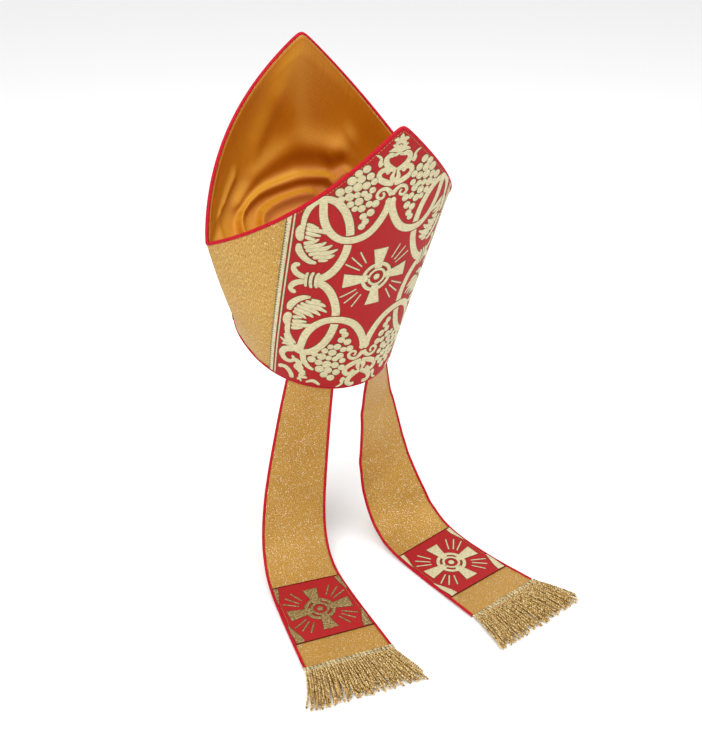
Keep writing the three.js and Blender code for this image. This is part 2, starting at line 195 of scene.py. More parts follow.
class LappetCloth:
    """A lappet's mid surface in flat coordinates: x across, y along from the rim."""

    LENGTH, TOP, END, PACE = 0.390, 0.047, 0.095, 0.001
    INSET, ROOT, BOW, FADE = 0.0052, 0.0534, 0.0054, 0.110

    def __init__(self, form: MitreForm, route: LappetRoute, seed: int) -> None:
        self.route = route
        back = HornCloth(form, 1)
        root = back.at(np.array([route.sign * self.ROOT]), np.array([0.0]), -self.INSET)[0]
        s = np.arange(0, self.LENGTH + self.PACE, self.PACE)
        across, along, _ = self.directions(s + self.PACE / 2)
        self.middles = root + np.concatenate([[np.zeros(3)], np.cumsum(along[:-1] * self.PACE, 0)])
        rng = np.random.default_rng(seed)
        self.waves = [
            (rng.uniform(0.05, 0.25), rng.uniform(0.006, 0.011), rng.uniform(-0.5, 0.5), rng.uniform(-1, 1))
            for _ in range(12)
        ]

    def _spline(self, values: tuple[float, ...], s: np.ndarray) -> np.ndarray:
        v = np.array(values, float)
        ends = np.concatenate([[2 * v[0] - v[1]], v, [2 * v[-1] - v[-2]]])
        u = np.clip(s / self.LENGTH, 0, 1 - 1e-9) * (len(v) - 1)
        i = u.astype(int)
        return np.radians(catmull(ends[i], ends[i + 1], ends[i + 2], ends[i + 3], u - i))

    def directions(self, s: np.ndarray) -> tuple[np.ndarray, np.ndarray, np.ndarray]:
        """Returns: across, along and outward unit vectors at each distance."""
        h, t, r = (self._spline(v, s) for v in (self.route.heading, self.route.drop, self.route.sway))
        level = np.stack([np.cos(h), -np.sin(h), 0 * h], -1)
        down = np.stack([np.sin(h) * np.cos(t), np.cos(h) * np.cos(t), -np.sin(t)], -1)
        cos, sin = np.cos(r)[:, None], np.sin(r)[:, None]
        across, along = level * cos - down * sin, down * cos + level * sin
        return across, along, np.cross(across, along)

    def half(self, s: np.ndarray | float) -> np.ndarray | float:
        """Returns: the half width at s."""
        return (self.TOP + (self.END - self.TOP) * np.clip(s, 0, None) / self.LENGTH) / 2

    def ripple(self, x: np.ndarray, s: np.ndarray) -> np.ndarray:
        """Returns: soft creases across the strip where it bends, metres outward."""
        total = np.zeros_like(s)
        for place, width, tilt, weight in self.waves:
            d = s - place - tilt * x - 0.004 * np.sin(60 * x + 20 * place)
            total += 0.9 * MM * weight * np.exp(-((d / width) ** 2))
        fade = np.clip(s / 0.03, 0, 1) * np.clip((0.30 - s) / 0.06, 0.12, 1)
        return total * fade

    def clip(self, x: np.ndarray, y: np.ndarray) -> tuple[np.ndarray, np.ndarray]:
        """Returns: flat places kept on the cloth's width."""
        half = self.half(y) - 0.4 * MM
        return np.clip(x, -half, half), y

    def at(self, x: np.ndarray, y: np.ndarray, out: np.ndarray | float) -> np.ndarray:
        """Returns: points `out` metres above the strip's mid plane."""
        across, along, up = self.directions(y)
        i = np.clip((y / self.PACE).astype(int), 0, len(self.middles) - 1)
        middle = self.middles[i] + along * (y - i * self.PACE)[:, None]
        bow = self.BOW * np.clip(1 - y / self.FADE, 0, 1) ** 2 * (x / self.half(y)) ** 2
        lift = np.broadcast_to(np.asarray(out, float), x.shape) - bow + self.ripple(x, y)
        return middle + across * x[:, None] + up * lift[:, None]


# ---------------------------------------------------------------- mesh building


def linked(name: str, data: bpy.types.ID) -> bpy.types.Object:
    """Returns: a new object in the scene."""
    made = bpy.data.objects.new(name, data)
    bpy.context.scene.collection.objects.link(made)
    return made


def lay_flat(mesh: bpy.types.Mesh, flats: np.ndarray) -> None:
    """Stores each vertex's flat place as the map "flat", and shades the mesh smooth."""
    loops = np.zeros(len(mesh.loops), int)
    mesh.loops.foreach_get("vertex_index", loops)
    uv = mesh.uv_layers.get("flat") or mesh.uv_layers.new(name="flat")
    uv.data.foreach_set("uv", flats[loops].astype(np.float32).ravel())
    mesh.polygons.foreach_set("use_smooth", np.ones(len(mesh.polygons), bool))


def quads_of(rows: int, columns: int, first: int = 0) -> np.ndarray:
    """Returns: the quads of a rows by columns grid of vertices, the first one numbered `first`."""
    index = np.arange(rows * columns).reshape(rows, columns) + first
    return np.stack([index[:-1, :-1], index[:-1, 1:], index[1:, 1:], index[1:, :-1]], -1).reshape(-1, 4)


class MeshDraft:
    """Vertices, quads, flat coordinates and a painted shade for each vertex, collected into one mesh."""

    def __init__(self) -> None:
        self.points: list[np.ndarray] = []
        self.faces: list[np.ndarray] = []
        self.flats: list[np.ndarray] = []
        self.painted_shades: list[np.ndarray] = []
        self.count = 0

    def add(self, points: np.ndarray, flats: np.ndarray, painted_shades: np.ndarray, faces: np.ndarray) -> None:
        """Adds vertices with their flat places and painted shades, and quads numbered over the whole draft."""
        self.points.append(points)
        self.flats.append(flats)
        self.painted_shades.append(painted_shades)
        self.faces.append(faces)
        self.count += len(points)

    def build(self, name: str, material: bpy.types.Material) -> bpy.types.Object:
        """Returns: the finished object, smooth shaded and linked to the scene."""
        mesh = bpy.data.meshes.new(name)
        mesh.from_pydata(np.concatenate(self.points).tolist(), [], np.concatenate(self.faces).tolist())
        lay_flat(mesh, np.concatenate(self.flats))
        # the rim attribute holds painted shade: the woven figure's darkened edges and the satin's painted fold
        # highlight and shade
        rim = mesh.attributes.new("rim", "FLOAT", "POINT")
        rim.data.foreach_set("value", np.concatenate(self.painted_shades).astype(np.float32))
        mesh.materials.append(material)
        mesh.validate()
        mesh.update()
        return linked(name, mesh)


def closed_sheet(
    name: str, material: bpy.types.Material, surface: Callable, us: np.ndarray, vs: np.ndarray,
    low: float, high: float, tone: Callable | None = None,
) -> bpy.types.Object:
    """A sheet with two faces and four closed edges, its faces outward.

    Args: surface(u, v, out) gives points and flats for flat arrays of u and v; low and high are the two
    faces' heights off it; tone(u, v) gives a painted light and shade value.
    Returns: the object.
    """
    u, v = (a.ravel() for a in np.meshgrid(us, vs))
    top, flat = surface(u, v, high)
    shade = tone(u, v) if tone else np.zeros(len(u))
    points = np.concatenate([top, surface(u, v, low)[0]])
    rows, columns, n = len(vs), len(us), len(u)
    index, quads = np.arange(n).reshape(rows, columns), quads_of(rows, columns)
    loop = np.concatenate([index[0, :], index[1:, -1], index[-1, -2::-1], index[-2:0:-1, 0]])
    after = np.roll(loop, -1)
    walls = np.stack([loop, loop + n, after + n, after], -1)
    faces = np.concatenate([quads, quads[:, ::-1] + n, walls])
    a, b, c, d = (points[faces[:, k]] - points.mean(0) for k in range(4))
    volume = np.einsum("ij,ij->", a, np.cross(b, c) + np.cross(c, d))
    draft = MeshDraft()
    draft.add(points, np.tile(flat, (2, 1)), np.tile(shade, 2), faces if volume > 0 else faces[:, ::-1])
    return draft.build(name, material)


def lengths(line: np.ndarray) -> np.ndarray:
    """Returns: how far along a polyline each of its points is."""
    return np.concatenate([[0], np.cumsum(np.linalg.norm(np.diff(line, axis=0), axis=1))])


def smooth_line(points: Sequence[tuple[float, float]], step: float) -> np.ndarray:
    """Returns: a Catmull-Rom line through flat points, about `step` apart, with its share in column 2."""
    p = np.array(points, float)
    if len(p) == 2:
        t = np.linspace(0, 1, max(3, int(np.linalg.norm(p[1] - p[0]) / step) + 1))
        return np.column_stack([p[0] + (p[1] - p[0]) * t[:, None], t])
    ends = np.vstack([2 * p[0] - p[1], p, 2 * p[-1] - p[-2]])
    out = []
    spans = len(p) - 1
    for i in range(spans):
        a, b, c, d = ends[i : i + 4]
        count = max(2, int(np.linalg.norm(c - b) / step))
        f = np.linspace(0, 1, count, endpoint=i == spans - 1)[:, None]
        out.append(np.column_stack([catmull(a, b, c, d, f), (i + f[:, 0]) / spans]))
    return np.vstack(out)


@dataclass(frozen=True)
class Stroke:
    """A woven band of the figure: flat points and widths in millimetres, and how high it lies."""

    points: tuple[tuple[float, float], ...]
    widths: tuple[float, ...]
    layer: int = 0
    blunt: bool = False


class Figure:
    """Lays strokes on a cloth as a slightly raised weave, its edges darkened with painted shade."""

    # share of the half width, extra millimetres, height in millimetres, painted edge shade
    PROFILE = (
        (-1.0, -0.55, -0.08, 1.0), (-1.0, 0.0, 0.16, 1.0), (-1.0, 0.35, 0.30, 0.0), (-0.4, 0.0, 0.36, 0.0),
        (0.4, 0.0, 0.36, 0.0), (1.0, -0.35, 0.30, 0.0), (1.0, 0.0, 0.16, 1.0), (1.0, 0.55, -0.08, 1.0),
    )
    # share of the radius, height in millimetres, painted edge shade
    RINGS = ((1.0, -0.08, 1.0), (0.9, 0.18, 1.0), (0.8, 0.34, 0.0), (0.4, 0.46, 0.0), (0.02, 0.48, 0.0))
    STEP, SUNK, LAYER, SPOT_SIDES = 1.3, -0.08, 0.10, 18

    def __init__(self, cloth, base: float, draft: MeshDraft) -> None:
        self.cloth, self.base, self.draft = cloth, base, draft

    def stroke(self, stroke: Stroke, mirror: int = 1) -> None:
        """Adds one stroke, mirrored in x when mirror is -1."""
        line = smooth_line([(mirror * x, y) for x, y in stroke.points], self.STEP)
        tangent = np.gradient(line[:, :2], axis=0)
        tangent /= np.linalg.norm(tangent, axis=1)[:, None] + 1e-9
        across = np.stack([-tangent[:, 1], tangent[:, 0]], -1)
        half = np.interp(line[:, 2], np.linspace(0, 1, len(stroke.widths)), stroke.widths) / 2
        if not stroke.blunt:
            walked = lengths(line[:, :2])
            end = np.minimum(walked, walked[-1] - walked) + 0.15
            half = half * np.sqrt(np.clip(1 - (1 - np.clip(end / np.maximum(half, 0.4), 0, 1)) ** 2, 0.03, 1))
        shares, extras, rises, shades = np.array(self.PROFILE).T
        flats = line[:, None, :2] + across[:, None] * (half[:, None] * shares + extras)[..., None]
        heights = np.tile(rises + self.LAYER * stroke.layer, (len(line), 1))
        painted_shades = np.tile(shades, (len(line), 1))
        heights[[0, -1]], painted_shades[[0, -1]] = self.SUNK, 1.0
        self._add(flats, heights, painted_shades)

    def bead(self, x: float, y: float, radius: float, layer: int = 0) -> None:
        """Adds a round spot, such as a grape, with millimetre centre and radius."""
        angles = np.linspace(0, 2 * np.pi, self.SPOT_SIDES + 1)
        shares, rises, shades = np.array(self.RINGS).T[:, :, None]
        circle = np.stack([np.cos(angles), np.sin(angles)], -1)
        flats = np.array([x, y]) + radius * shares[..., None] * circle
        around = np.ones((len(self.RINGS), len(angles)))
        self._add(flats, (rises + self.LAYER * layer) * around, shades * around)

    def _add(self, flats: np.ndarray, heights: np.ndarray, painted_shades: np.ndarray) -> None:
        rows, columns = heights.shape
        flat = flats.reshape(-1, 2) * MM
        x, y = self.cloth.clip(flat[:, 0], flat[:, 1])
        points = self.cloth.at(x, y, self.base + heights.ravel() * MM)
        grid = points.reshape(rows, columns, 3)
        above = self.cloth.at(x, y, self.base + heights.ravel() * MM + MM).reshape(rows, columns, 3)
        r, c = rows // 2, columns // 2
        facing = np.cross(grid[r, c] - grid[r, c - 1], grid[r, c] - grid[r - 1, c]) @ (above - grid)[r, c]
        if facing < 0:
            points, flat = grid[:, ::-1].reshape(-1, 3), flats[:, ::-1].reshape(-1, 2) * MM
            painted_shades = painted_shades[:, ::-1]
        self.draft.add(points, flat, painted_shades.ravel(), quads_of(rows, columns, self.draft.count))


# ---------------------------------------------------------------- the woven figure, charted in millimetres

MIRROR_LEVEL = 290.5  # an upper figure at y has its lower twin at this less y
CROSS_AT = (0.5, 145.5)
BORDERS = ((94.0, 1.8), (98.8, 4.4))  # distance from the centre line and width of the pale border lines
GRAPE_PLUMP = 1.14

BANDS = (
    Stroke(((1.5, 234), (3.6, 225), (9, 213.5), (17, 203), (27, 197), (38, 195.2), (48, 197), (57, 203.5),
            (63, 212), (67, 223), (69.5, 241)), (8.5, 8.5, 8.5, 8, 8.5, 8), 0, True),
    Stroke(((38, 200.5), (39, 208), (42, 219), (48, 231), (57, 240.5), (67, 243.6), (76, 240), (81.5, 232),
            (84.5, 221), (85, 209)), (8.5, 8.5, 8.5, 7.5, 6, 5), 1, True),
    Stroke(((38.5, 190.3), (39.5, 181), (43, 169.5), (49, 158), (57, 150), (66, 147.5)), (8.5, 8.5, 9, 9), 0, True),
)
HEARTS = (
    Stroke(((0, 254.5), (8, 257), (16, 261.5), (18.5, 267), (15, 271.8), (9.5, 270.5), (8.5, 265.5)),
           (5, 7, 6, 6, 5.5, 5)),
    Stroke(((0, 256), (3.5, 262.5), (1, 270)), (6, 5.5, 2)),
    Stroke(((0, 269.5), (7, 273), (12, 278), (13, 284), (8.5, 287.5), (4.8, 284.5)), (5, 6.5, 6.5, 6, 5.5, 5)),
    Stroke(((0, 241.5), (3, 246.5), (8, 250.5), (14, 249.5), (16.8, 244.5), (13.5, 240.2), (9.2, 241.8),
            (9.8, 246.2), (12.6, 245.6)), (6.5, 4.6, 4, 3.6, 3, 2.4)),
)
FINIAL = (
    Stroke(((0, 286), (0, 292), (0, 298)), (2, 7, 2.5), 1),
    Stroke(((0, 290), (6, 292.5), (12.5, 291)), (4, 5.2, 1.2)),
    Stroke(((0, 293), (5, 296), (9.5, 298)), (3.5, 4.6, 1)),
    Stroke(((0, 287.5), (4.5, 286.8), (8.5, 288.2)), (3, 4, 1)),
    Stroke(((0, 298), (0, 304), (0, 309.5)), (2.5, 6.5, 1), 1),
    Stroke(((0, 300.5), (5, 303), (9, 302.5)), (3.5, 5, 1)),
    Stroke(((0, 299.5), (4.5, 298.8), (7, 300)), (3, 3.5, 1)),
)
HOOK = (Stroke(((16.5, 276), (19.4, 280), (19, 284), (21.5, 287.5), (26, 289.5)), (6.5, 5, 3.4, 2.8, 1.4)),)
BEAN = (
    Stroke(((-5.6, 238), (0, 234.6), (5.6, 238)), (7.4, 7, 7.4), 1),
)
LEAVES = (
    Stroke(((84.5, 212), (87, 205), (86.5, 198), (84.5, 192)), (6.1, 8.5, 8.5, 4.9)),
    Stroke(((82, 213.5), (76, 211.5), (69, 209.5)), (4.3, 5.1, 1.5), 2),
    Stroke(((82, 208.5), (74, 206.8), (66, 205.8), (60.5, 203)), (5.4, 5.9, 5.1, 1.5)),
    Stroke(((82, 203.5), (74, 201.6), (66, 200.5)), (4.4, 5.1, 2), 2),
    Stroke(((82, 198.5), (77, 196.6), (71, 196.2)), (4.4, 4.9, 2)),
    Stroke(((86.5, 189.5), (85, 181), (80, 173.5), (73, 168.5), (66, 167.2)), (4.9, 7.9, 7.3, 6.1, 3), 2),
    Stroke(((82.5, 189.5), (77, 191), (72, 193.5), (67, 197)), (4.4, 5.1, 4.6, 1.5)),
    Stroke(((81.5, 185), (74, 187.2), (66, 189.5), (60, 194)), (4.1, 5.6, 5.6, 1.7), 2),
    Stroke(((79.5, 180.8), (70, 183.6), (61, 185.5), (53.5, 190.5)), (3.9, 5.9, 5.9, 1.7)),
    Stroke(((76, 176.8), (67, 179.3), (57, 180.6), (47.5, 185.5)), (3.9, 5.6, 5.9, 1.7), 2),
    Stroke(((71.5, 173.2), (63, 175), (55, 175.8), (49.5, 178.5)), (3.7, 5.4, 5.4, 1.7)),
    Stroke(((66, 170.3), (60, 171.3), (55, 171.5)), (3.7, 4.4, 1.7), 2),
)
CLASP = (
    Stroke(((62, 155.5), (64, 150), (64, 141), (62, 135)), (3, 3.6, 3.6, 3), 2),
    Stroke(((67.5, 156), (69.3, 150), (69.3, 141), (67.5, 134.5)), (3, 3.6, 3.6, 3), 2),
    Stroke(((73, 155), (74.2, 150), (74.2, 141), (73, 135.5)), (2.6, 3.4, 3.4, 2.6), 2),
    Stroke(((72, 148), (79, 149), (85, 152.5), (88, 158.5), (85.5, 163), (81.5, 162)), (5, 7, 7, 5.5, 5.5, 6)),
)
GRAPES = (
    # x, y and radius of each grape, in millimetres
    (32.5, 275.5, 4.3), (40, 271.5, 4.2), (27.5, 267.5, 4.2), (36.5, 265, 4.6), (45.5, 263.8, 4.9),
    (22.5, 261, 3.9), (30, 257.5, 4.4), (38.8, 256.5, 5.0), (47.5, 254.5, 4.2), (55.3, 251.5, 4.6),
    (22.8, 251.5, 3.6), (31, 248.6, 3.6), (37.8, 247.6, 3.6), (45.5, 246, 4.8), (26.5, 244.5, 4.3),
    (53, 243.5, 3.8), (35, 240, 4.5), (43.2, 237.6, 3.8), (17, 235.5, 4.2), (24, 236, 3.7),
    (31, 231.8, 4.2), (38, 232, 3.4), (20.8, 226, 4.3), (28, 222.5, 4.0), (24.8, 216, 3.9), (27.8, 210.8, 3.9),
)
RAYS = (((14.5, 19), (23.5, 34.5)), ((18.5, 15.5), (32, 29)), ((20.5, 11.5), (37.5, 21)))
TAIL = (
    Stroke(((66.5, 57), (76, 49), (84.5, 44.5), (87.5, 37), (83.5, 30), (77, 29.5), (73.5, 34), (76.5, 38.5)),
           (8, 8, 8, 7, 6.5, 5, 4, 3.4), 1),
    Stroke(((65.5, 46), (63.5, 36), (58, 28), (51, 23.5)), (7, 6.5, 5.5, 3)),
    Stroke(((74, 56), (81, 63), (85, 72), (85.5, 84)), (3, 5.5, 6, 5)),
    Stroke(((77, 54), (84, 60), (88, 67)), (3, 4.5, 1.4), 1),
    Stroke(((79, 54), (87, 57), (92, 60)), (3, 4.5, 1.4), 1),
    Stroke(((80, 52), (86, 53), (89, 50)), (3, 4, 1.4)),
    Stroke(((75, 34), (67, 30), (70, 23), (62, 18), (64, 11), (56, 11)), (6, 6.5, 6, 6, 5, 3)),
    Stroke(((70, 29), (64, 24), (66, 18), (58, 14)), (4, 4.5, 4, 2), 1),
    Stroke(((73, 4), (75, 11), (81, 17.5), (88, 16.5), (88, 12.5)), (5, 6, 6, 5, 4)),
    Stroke(((42, 3), (50, 8), (58, 4)), (3, 5, 2)),
    Stroke(((62, 3), (65, 8), (67, 4)), (2, 4, 2)),
)


def cross_figure(figure: Figure, x: float, y: float, scale: float) -> None:
    """Draws the flared cross with its rings, dot and rays. Args: centre in millimetres and scale."""
    for quarter, reach in enumerate((37, 35, 37, 35)):
        c, s = math.cos(quarter * math.pi / 2), math.sin(quarter * math.pi / 2)
        arm = tuple((x + scale * c * r, y + scale * s * r) for r in (9.5, 17, 25, reach))
        figure.stroke(Stroke(arm, tuple(scale * width for width in (8.4, 9.6, 12.8, 17.6)), 2, True))
    for side in (1, -1):
        for mirror in (1, -1):
            for ends in RAYS:
                ray = tuple((x + scale * mirror * a, y + scale * side * b) for a, b in ends)
                figure.stroke(Stroke(ray, (1.7, 1.7), 0, True))
    for radius, width, layer in ((15.6, 4.2, 1), (9.2, 3.0, 3)):
        around = np.linspace(0, 2 * np.pi, 25)
        ring = tuple((x + scale * radius * math.cos(a), y + scale * radius * math.sin(a)) for a in around)
        figure.stroke(Stroke(ring, (width * scale, width * scale), layer, True))
    figure.bead(x, y, 4.1 * scale, 1)


def flipped(stroke: Stroke) -> Stroke:
    """Returns: the stroke's twin in the lower half."""
    return replace(stroke, points=tuple((x, MIRROR_LEVEL - y) for x, y in stroke.points))


def orphrey_figure(cloth: HornCloth, base: float, material) -> bpy.types.Object:
    """Weaves the whole figure of one orphrey. Returns: one object."""
    draft = MeshDraft()
    figure = Figure(cloth, base, draft)
    paired = BANDS + HEARTS + HOOK + LEAVES + CLASP
    for mirror in (1, -1):
        for stroke in paired:
            figure.stroke(stroke, mirror)
            if stroke not in CLASP[:3]:
                figure.stroke(flipped(stroke), mirror)
        for stroke in FINIAL[1:4] + FINIAL[5:] + TAIL:
            figure.stroke(stroke, mirror)
        for order, (x, y, radius) in enumerate(GRAPES):
            for level in (y, MIRROR_LEVEL - y):
                figure.bead(mirror * x, level, GRAPE_PLUMP * radius, 1 + order % 3)
        for edge, width in BORDERS:
            line = Stroke(tuple((edge, y) for y in (1, 60, 120, 180, 235)), (width, width), 0, True)
            figure.stroke(line, mirror)
    for stroke in (FINIAL[0], FINIAL[4], *BEAN, flipped(BEAN[0])):
        figure.stroke(stroke)
    cross_figure(figure, *CROSS_AT, 1.0)
    return draft.build(f"{'back' if cloth.side > 0 else 'front'}_orphrey_figure", material)


# ---------------------------------------------------------------- materials


class NodeTree:
    """A short way to write shader trees by socket name."""

    def __init__(self, tree: bpy.types.NodeTree) -> None:
        self.tree = tree

    def add(self, kind: str, inputs: dict | None = None, **settings) -> bpy.types.Node:
        """Adds a node, sets its properties, and links or sets its named or numbered inputs."""
        node = self.tree.nodes.new(kind)
        for key, value in settings.items():
            setattr(node, key, value)
        for key, value in (inputs or {}).items():
            if isinstance(value, bpy.types.NodeSocket):
                self.tree.links.new(value, node.inputs[key])
            else:
                node.inputs[key].default_value = value
        return node

    def math(self, operation: str, *values) -> bpy.types.NodeSocket:
        """Returns: the result of a Math node."""
        return self.add("ShaderNodeMath", dict(enumerate(values)), operation=operation).outputs[0]

    def mix(self, factor, a, b) -> bpy.types.NodeSocket:
        """Returns: a colour mix."""
        return self.add("ShaderNodeMix", {0: factor, 6: a, 7: b}, data_type="RGBA").outputs[2]

    def ramp(self, value, low: float, high: float, most: float = 1.0) -> bpy.types.NodeSocket:
        """Returns: 0 at low to `most` at high."""
        return self.add("ShaderNodeMapRange", {0: value, 1: low, 2: high, 4: most}).outputs[0]


def linear(red: int, green: int, blue: int) -> tuple[float, float, float, float]:
    """Returns: a linear colour from display values of 0 to 255."""
    rgb = [((c / 255 + 0.055) / 1.055) ** 2.4 if c > 10 else c / 255 / 12.92 for c in (red, green, blue)]
    return (*rgb, 1.0)


def new_group(name: str, kind: str, inputs: dict[str, object], outputs: tuple[str, ...]):
    """A node group with named sockets.

    Args: inputs map a name to a default, or to None for the group's own geometry, vector or material.
    Returns: its NodeTree, input node and output node.
    """
    group = bpy.data.node_groups.new(name, kind)
    own = {"Geometry": "Geometry", "Vector": "Vector", "Size": "Vector", "Material": "Material", "Sides": "Int"}
    for way, sockets in (("INPUT", inputs), ("OUTPUT", dict.fromkeys(outputs))):
        for key, default in sockets.items():
            kind_of = f"NodeSocket{own.get(key, 'Float')}"
            socket = group.interface.new_socket(key, in_out=way, socket_type=kind_of)
            if default is not None:
                socket.default_value = default
    t = NodeTree(group)
    return t, t.add("NodeGroupInput"), t.add("NodeGroupOutput")


def thread_group() -> bpy.types.NodeTree:
    """The shared weave: threads across and along the cloth, with slubs.

    Returns: a group with Vector, Across, Along and Slub in, and Height and Tone out.
    """
    t, enter, leave = new_group("Cloth threads", "ShaderNodeTree",
                                {"Vector": None, "Across": 900.0, "Along": 900.0, "Slub": 0.5}, ("Height", "Tone"))
    flat, across, along = (enter.outputs[key] for key in ("Vector", "Across", "Along"))
    split = t.add("ShaderNodeSeparateXYZ", {0: flat})
    waves = [t.math("SINE", t.math("MULTIPLY", split.outputs[axis], t.math("MULTIPLY", count, 6.283)))
             for axis, count in enumerate((across, along))]
    size = t.add("ShaderNodeCombineXYZ", {0: across, 1: along, 2: 1.0})
    scaled = t.add("ShaderNodeVectorMath", {0: flat, 1: size.outputs[0]}, operation="MULTIPLY")
    noise = t.add("ShaderNodeTexNoise", {"Vector": scaled.outputs[0], "Scale": 0.7, "Detail": 2.0})
    tone = t.math("MULTIPLY", t.math("SUBTRACT", noise.outputs[0], 0.5), enter.outputs["Slub"])
    height = t.math("ADD", t.math("MULTIPLY", t.math("ADD", *waves), 0.25), tone)
    t.tree.links.new(height, leave.inputs["Height"])
    t.tree.links.new(t.math("ADD", tone, 0.5), leave.inputs["Tone"])
    return t.tree


@dataclass(frozen=True)
class Finish:
    """A cloth's look: three colours, thread counts a metre and shine."""

    name: str
    dark: tuple[int, int, int]
    body: tuple[int, int, int]
    light: tuple[int, int, int]
    rough: float
    metal: float = 0.0
    across: float = 900.0
    along: float = 900.0
    slub: float = 1.0
    bump: float = 0.3
    painted_glints: float = 0.0
    billow: float = 0.0
    painted_edge_shade: tuple[int, int, int] | None = None
    anisotropy: float = 0.0
    folds: bool = False

    def material(self, threads: bpy.types.NodeTree) -> bpy.types.Material:
        """Returns: the procedural material, reading the piece's own flat coordinates."""
        made = bpy.data.materials.new(self.name)
        made.use_nodes = True
        made.node_tree.nodes.clear()
        t = NodeTree(made.node_tree)
        flat = t.add("ShaderNodeUVMap", uv_map="flat").outputs[0]
        place = t.add("ShaderNodeTexCoord").outputs["Object"]
        weave = t.add("ShaderNodeGroup", node_tree=threads)
        t.tree.links.new(flat, weave.inputs["Vector"])
        for key, value in (("Across", self.across), ("Along", self.along), ("Slub", self.slub)):
            weave.inputs[key].default_value = value
        tone = weave.outputs["Tone"]
        dark, body, light = (linear(*colour) for colour in (self.dark, self.body, self.light))
        low = t.mix(t.ramp(tone, 0.15, 0.5), dark, body)
        colour = t.mix(t.ramp(tone, 0.5, 0.85), low, light)
        patch = t.add("ShaderNodeTexNoise", {"Vector": place, "Scale": 22.0, "Detail": 3.0}).outputs[0]
        colour = t.mix(t.ramp(patch, 0.3, 0.75, 0.22), colour, dark)
        height, rough = weave.outputs["Height"], self.rough
        if self.billow:
            wide = t.add("ShaderNodeTexNoise", {"Vector": place, "Scale": 16.0, "Detail": 1.0}).outputs[0]
            height = t.math("ADD", t.math("MULTIPLY", height, 0.15), t.math("MULTIPLY", wide, self.billow))
        if self.painted_glints:
            # painted glints: scattered specks turned near white, and a little smoother, standing for light glinting
            # off the metal threads
            speck = t.add("ShaderNodeTexVoronoi", {"Vector": flat, "Scale": 1150.0})
            bright = t.add("ShaderNodeSeparateColor", {0: speck.outputs["Color"]}).outputs[0]
            near = t.math("LESS_THAN", speck.outputs["Distance"], 0.42)
            shine = t.math("MULTIPLY", t.math("GREATER_THAN", bright, 1.0 - self.painted_glints), near)
            colour = t.mix(shine, colour, linear(255, 246, 222))
            rough = t.math("SUBTRACT", self.rough, t.math("MULTIPLY", shine, 0.2))
        if self.folds or self.painted_edge_shade:
            rim = t.add("ShaderNodeAttribute", attribute_name="rim").outputs["Fac"]
        # painted fold highlight and painted fold shade: rim above 0.5 mixes in the light colour, rim below 0.5 the
        # dark colour
        if self.folds:
            colour = t.mix(t.ramp(rim, 0.5, 1.0), colour, light)
            colour = t.mix(t.ramp(rim, 0.5, 0.0), colour, dark)
        if self.painted_edge_shade:
            # painted shade: the olive colour darkens the figure's edges, where the rim value is high
            colour = t.mix(t.ramp(rim, 0.45, 0.8), colour, linear(*self.painted_edge_shade))
        deep = 0.002 if self.billow else 0.0004
        bump = t.add("ShaderNodeBump", {"Strength": self.bump, "Distance": deep, "Height": height})
        shader = t.add(
            "ShaderNodeBsdfPrincipled",
            {"Base Color": colour, "Roughness": rough, "Metallic": self.metal, "Normal": bump.outputs[0],
             "Specular IOR Level": 0.3, "Anisotropic": self.anisotropy},
        )
        end = t.add("ShaderNodeOutputMaterial")
        t.tree.links.new(shader.outputs[0], end.inputs[0])
        return made


# colour of the painted shade at the edges of the woven figure
OLIVE = (74, 62, 38)
FINISHES = {
    "lame": Finish("Gold lame", (128, 88, 30), (184, 143, 66), (222, 184, 104),
                   0.5, 0.2, 1600, 420, 1.2, 0.4, painted_glints=0.015),
    "lappet": Finish("Glitter lame", (126, 86, 30), (178, 134, 58), (216, 176, 98),
                     0.4, 0.35, 1000, 1500, 1.1, 0.4, painted_glints=0.10),
    "red": Finish("Red brocade ground", (128, 6, 10), (158, 12, 16), (178, 22, 24),
                  0.7, 0.0, 500, 1700, 0.8, 0.3),
    "hem": Finish("Folded hem", (86, 8, 10), (120, 12, 14), (150, 20, 20), 0.7, 0.0, 900, 900, 0.6, 0.3),
    "cream": Finish("Cream woven figure", (150, 138, 100), (200, 190, 150), (226, 220, 190),
                    0.5, 0.15, 300, 1500, 1.0, 0.4, painted_edge_shade=OLIVE),
    "bronze": Finish("Bronze woven figure", (92, 72, 36), (140, 114, 62), (208, 190, 144),
                     0.4, 0.4, 600, 1500, 1.9, 0.4, painted_edge_shade=OLIVE),
    # the satin's dark and light colours also serve as its painted fold shade and painted fold highlight
    "satin": Finish("Golden satin", (138, 64, 2), (178, 106, 10), (210, 154, 36),
                    0.36, 0.15, 2500, 300, 0.2, 0.35, billow=1.6, anisotropy=0.5, folds=True),
    "cord": Finish("Crimson piping", (196, 8, 34), (222, 16, 46), (236, 50, 74), 0.5, 0.0, 900, 900, 0.4, 0.2),
    "thread": Finish("Ochre thread", (120, 84, 30), (176, 134, 62), (226, 196, 124),
                     0.5, 0.1, 900, 900, 0.8, 0.2),
    "grey": Finish("Grey thread", (40, 40, 38), (76, 76, 70), (130, 130, 120), 0.5, 0.1, 900, 900, 0.8, 0.2),
    "braid": Finish("Metal braid", (176, 150, 96), (232, 214, 164), (252, 244, 214),
                    0.5, 0.0, 420, 420, 1.6, 0.6),
    "fringe": Finish("Bullion fringe", (92, 56, 16), (196, 156, 84), (250, 232, 176),
                     0.4, 0.15, 700, 700, 2.2, 0.5),
}


# ---------------------------------------------------------------- geometry nodes


def painted(t: NodeTree, enter: bpy.types.Node, leave: bpy.types.Node, shape: bpy.types.NodeSocket):
    """Ends a geometry group with one real mesh in the group's material. Returns: the group's tree."""
    real = t.add("GeometryNodeRealizeInstances", {0: shape})
    paint = t.add("GeometryNodeSetMaterial", {0: real.outputs[0], "Material": enter.outputs["Material"]})
    t.tree.links.new(paint.outputs[0], leave.inputs[0])
    return t.tree


